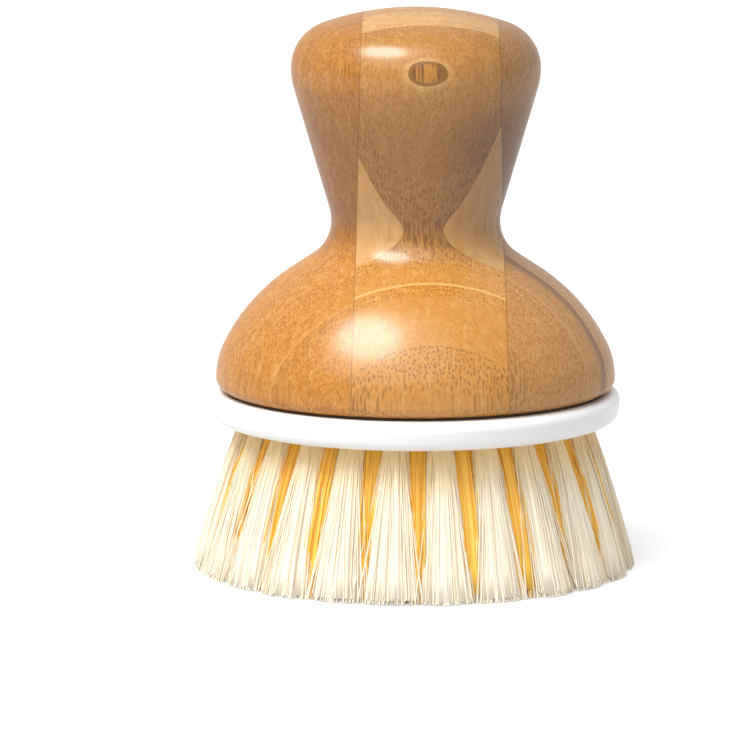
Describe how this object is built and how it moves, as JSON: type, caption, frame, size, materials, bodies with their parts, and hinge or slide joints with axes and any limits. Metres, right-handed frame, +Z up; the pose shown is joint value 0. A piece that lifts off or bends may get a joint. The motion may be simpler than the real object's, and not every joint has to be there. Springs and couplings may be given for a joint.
{
  "type": "dish brush",
  "caption": "Palm-held dish brush with a turned bamboo knob, a white plate of white and amber bristle tufts and a screw-on head.",
  "frame": {"origin": "on the brush's axis, in the plane of the bristle tips that it stands on", "axes": "+Z up along the axis from the bristle tips to the knob's crown, -Y towards the front of the picture, +X to its right"},
  "size_m": [0.0678, 0.0678, 0.085],
  "materials": {
    "bamboo": "satin-gloss lacquered laminated bamboo, golden brown with fine fibre marks and glue lines",
    "socket_plastic": "moulded, natural off-white",
    "seal_rubber": "matte dark brown",
    "white_plastic": "smooth white, softly glossy",
    "white_bristle": "translucent creamy white synthetic filaments",
    "amber_bristle": "amber orange synthetic filaments"
  },
  "bodies": {
    "knob": {"bamboo_knob": "bamboo", "threaded_socket": "socket_plastic"},
    "seal": {"seal_ring": "seal_rubber"},
    "head": {"brush_plate": "white_plastic", "white_tuft_01": "white_bristle", "white_tuft_02": "white_bristle", "white_tuft_03": "white_bristle", "white_tuft_04": "white_bristle", "white_tuft_05": "white_bristle", "white_tuft_06": "white_bristle", "white_tuft_07": "white_bristle", "white_tuft_08": "white_bristle", "white_tuft_09": "white_bristle", "white_tuft_10": "white_bristle", "white_tuft_11": "white_bristle", "white_tuft_12": "white_bristle", "white_tuft_13": "white_bristle", "white_tuft_14": "white_bristle", "white_tuft_15": "white_bristle", "white_tuft_16": "white_bristle", "white_tuft_17": "white_bristle", "white_tuft_18": "white_bristle", "white_tuft_19": "white_bristle", "white_tuft_20": "white_bristle", "white_tuft_21": "white_bristle", "white_tuft_22": "white_bristle", "white_tuft_23": "white_bristle", "white_tuft_24": "white_bristle", "amber_tuft_01": "amber_bristle", "amber_tuft_02": "amber_bristle", "amber_tuft_03": "amber_bristle", "amber_tuft_04": "amber_bristle", "amber_tuft_05": "amber_bristle", "amber_tuft_06": "amber_bristle", "amber_tuft_07": "amber_bristle", "amber_tuft_08": "amber_bristle", "amber_tuft_09": "amber_bristle", "amber_tuft_10": "amber_bristle", "amber_tuft_11": "amber_bristle", "amber_tuft_12": "amber_bristle", "amber_tuft_13": "amber_bristle", "amber_tuft_14": "amber_bristle", "amber_tuft_15": "amber_bristle", "amber_tuft_16": "amber_bristle", "amber_tuft_17": "amber_bristle", "amber_tuft_18": "amber_bristle", "amber_tuft_19": "amber_bristle", "amber_tuft_20": "amber_bristle", "amber_tuft_21": "amber_bristle", "amber_tuft_22": "amber_bristle", "amber_tuft_23": "amber_bristle", "amber_tuft_24": "amber_bristle", "third_row_tufts": "amber_bristle", "fourth_row_tufts": "amber_bristle", "centre_tufts": "amber_bristle"}
  },
  "joints": [
    {"name": "seal_drop", "type": "slide", "parent": "knob", "child": "seal", "axis": [0, 0, -1], "range_m": [0, 0.006]},
    {"name": "head_unscrew", "type": "hinge", "parent": "seal", "child": "head", "pos_m": [0, 0, 0.0269], "axis": [0, 0, -1], "range_deg": [0, 540]}
  ],
  "couplings": [
    {"joint": "seal_drop", "follows": "head_unscrew", "m_per_rad": 0.00063662}
  ]
}
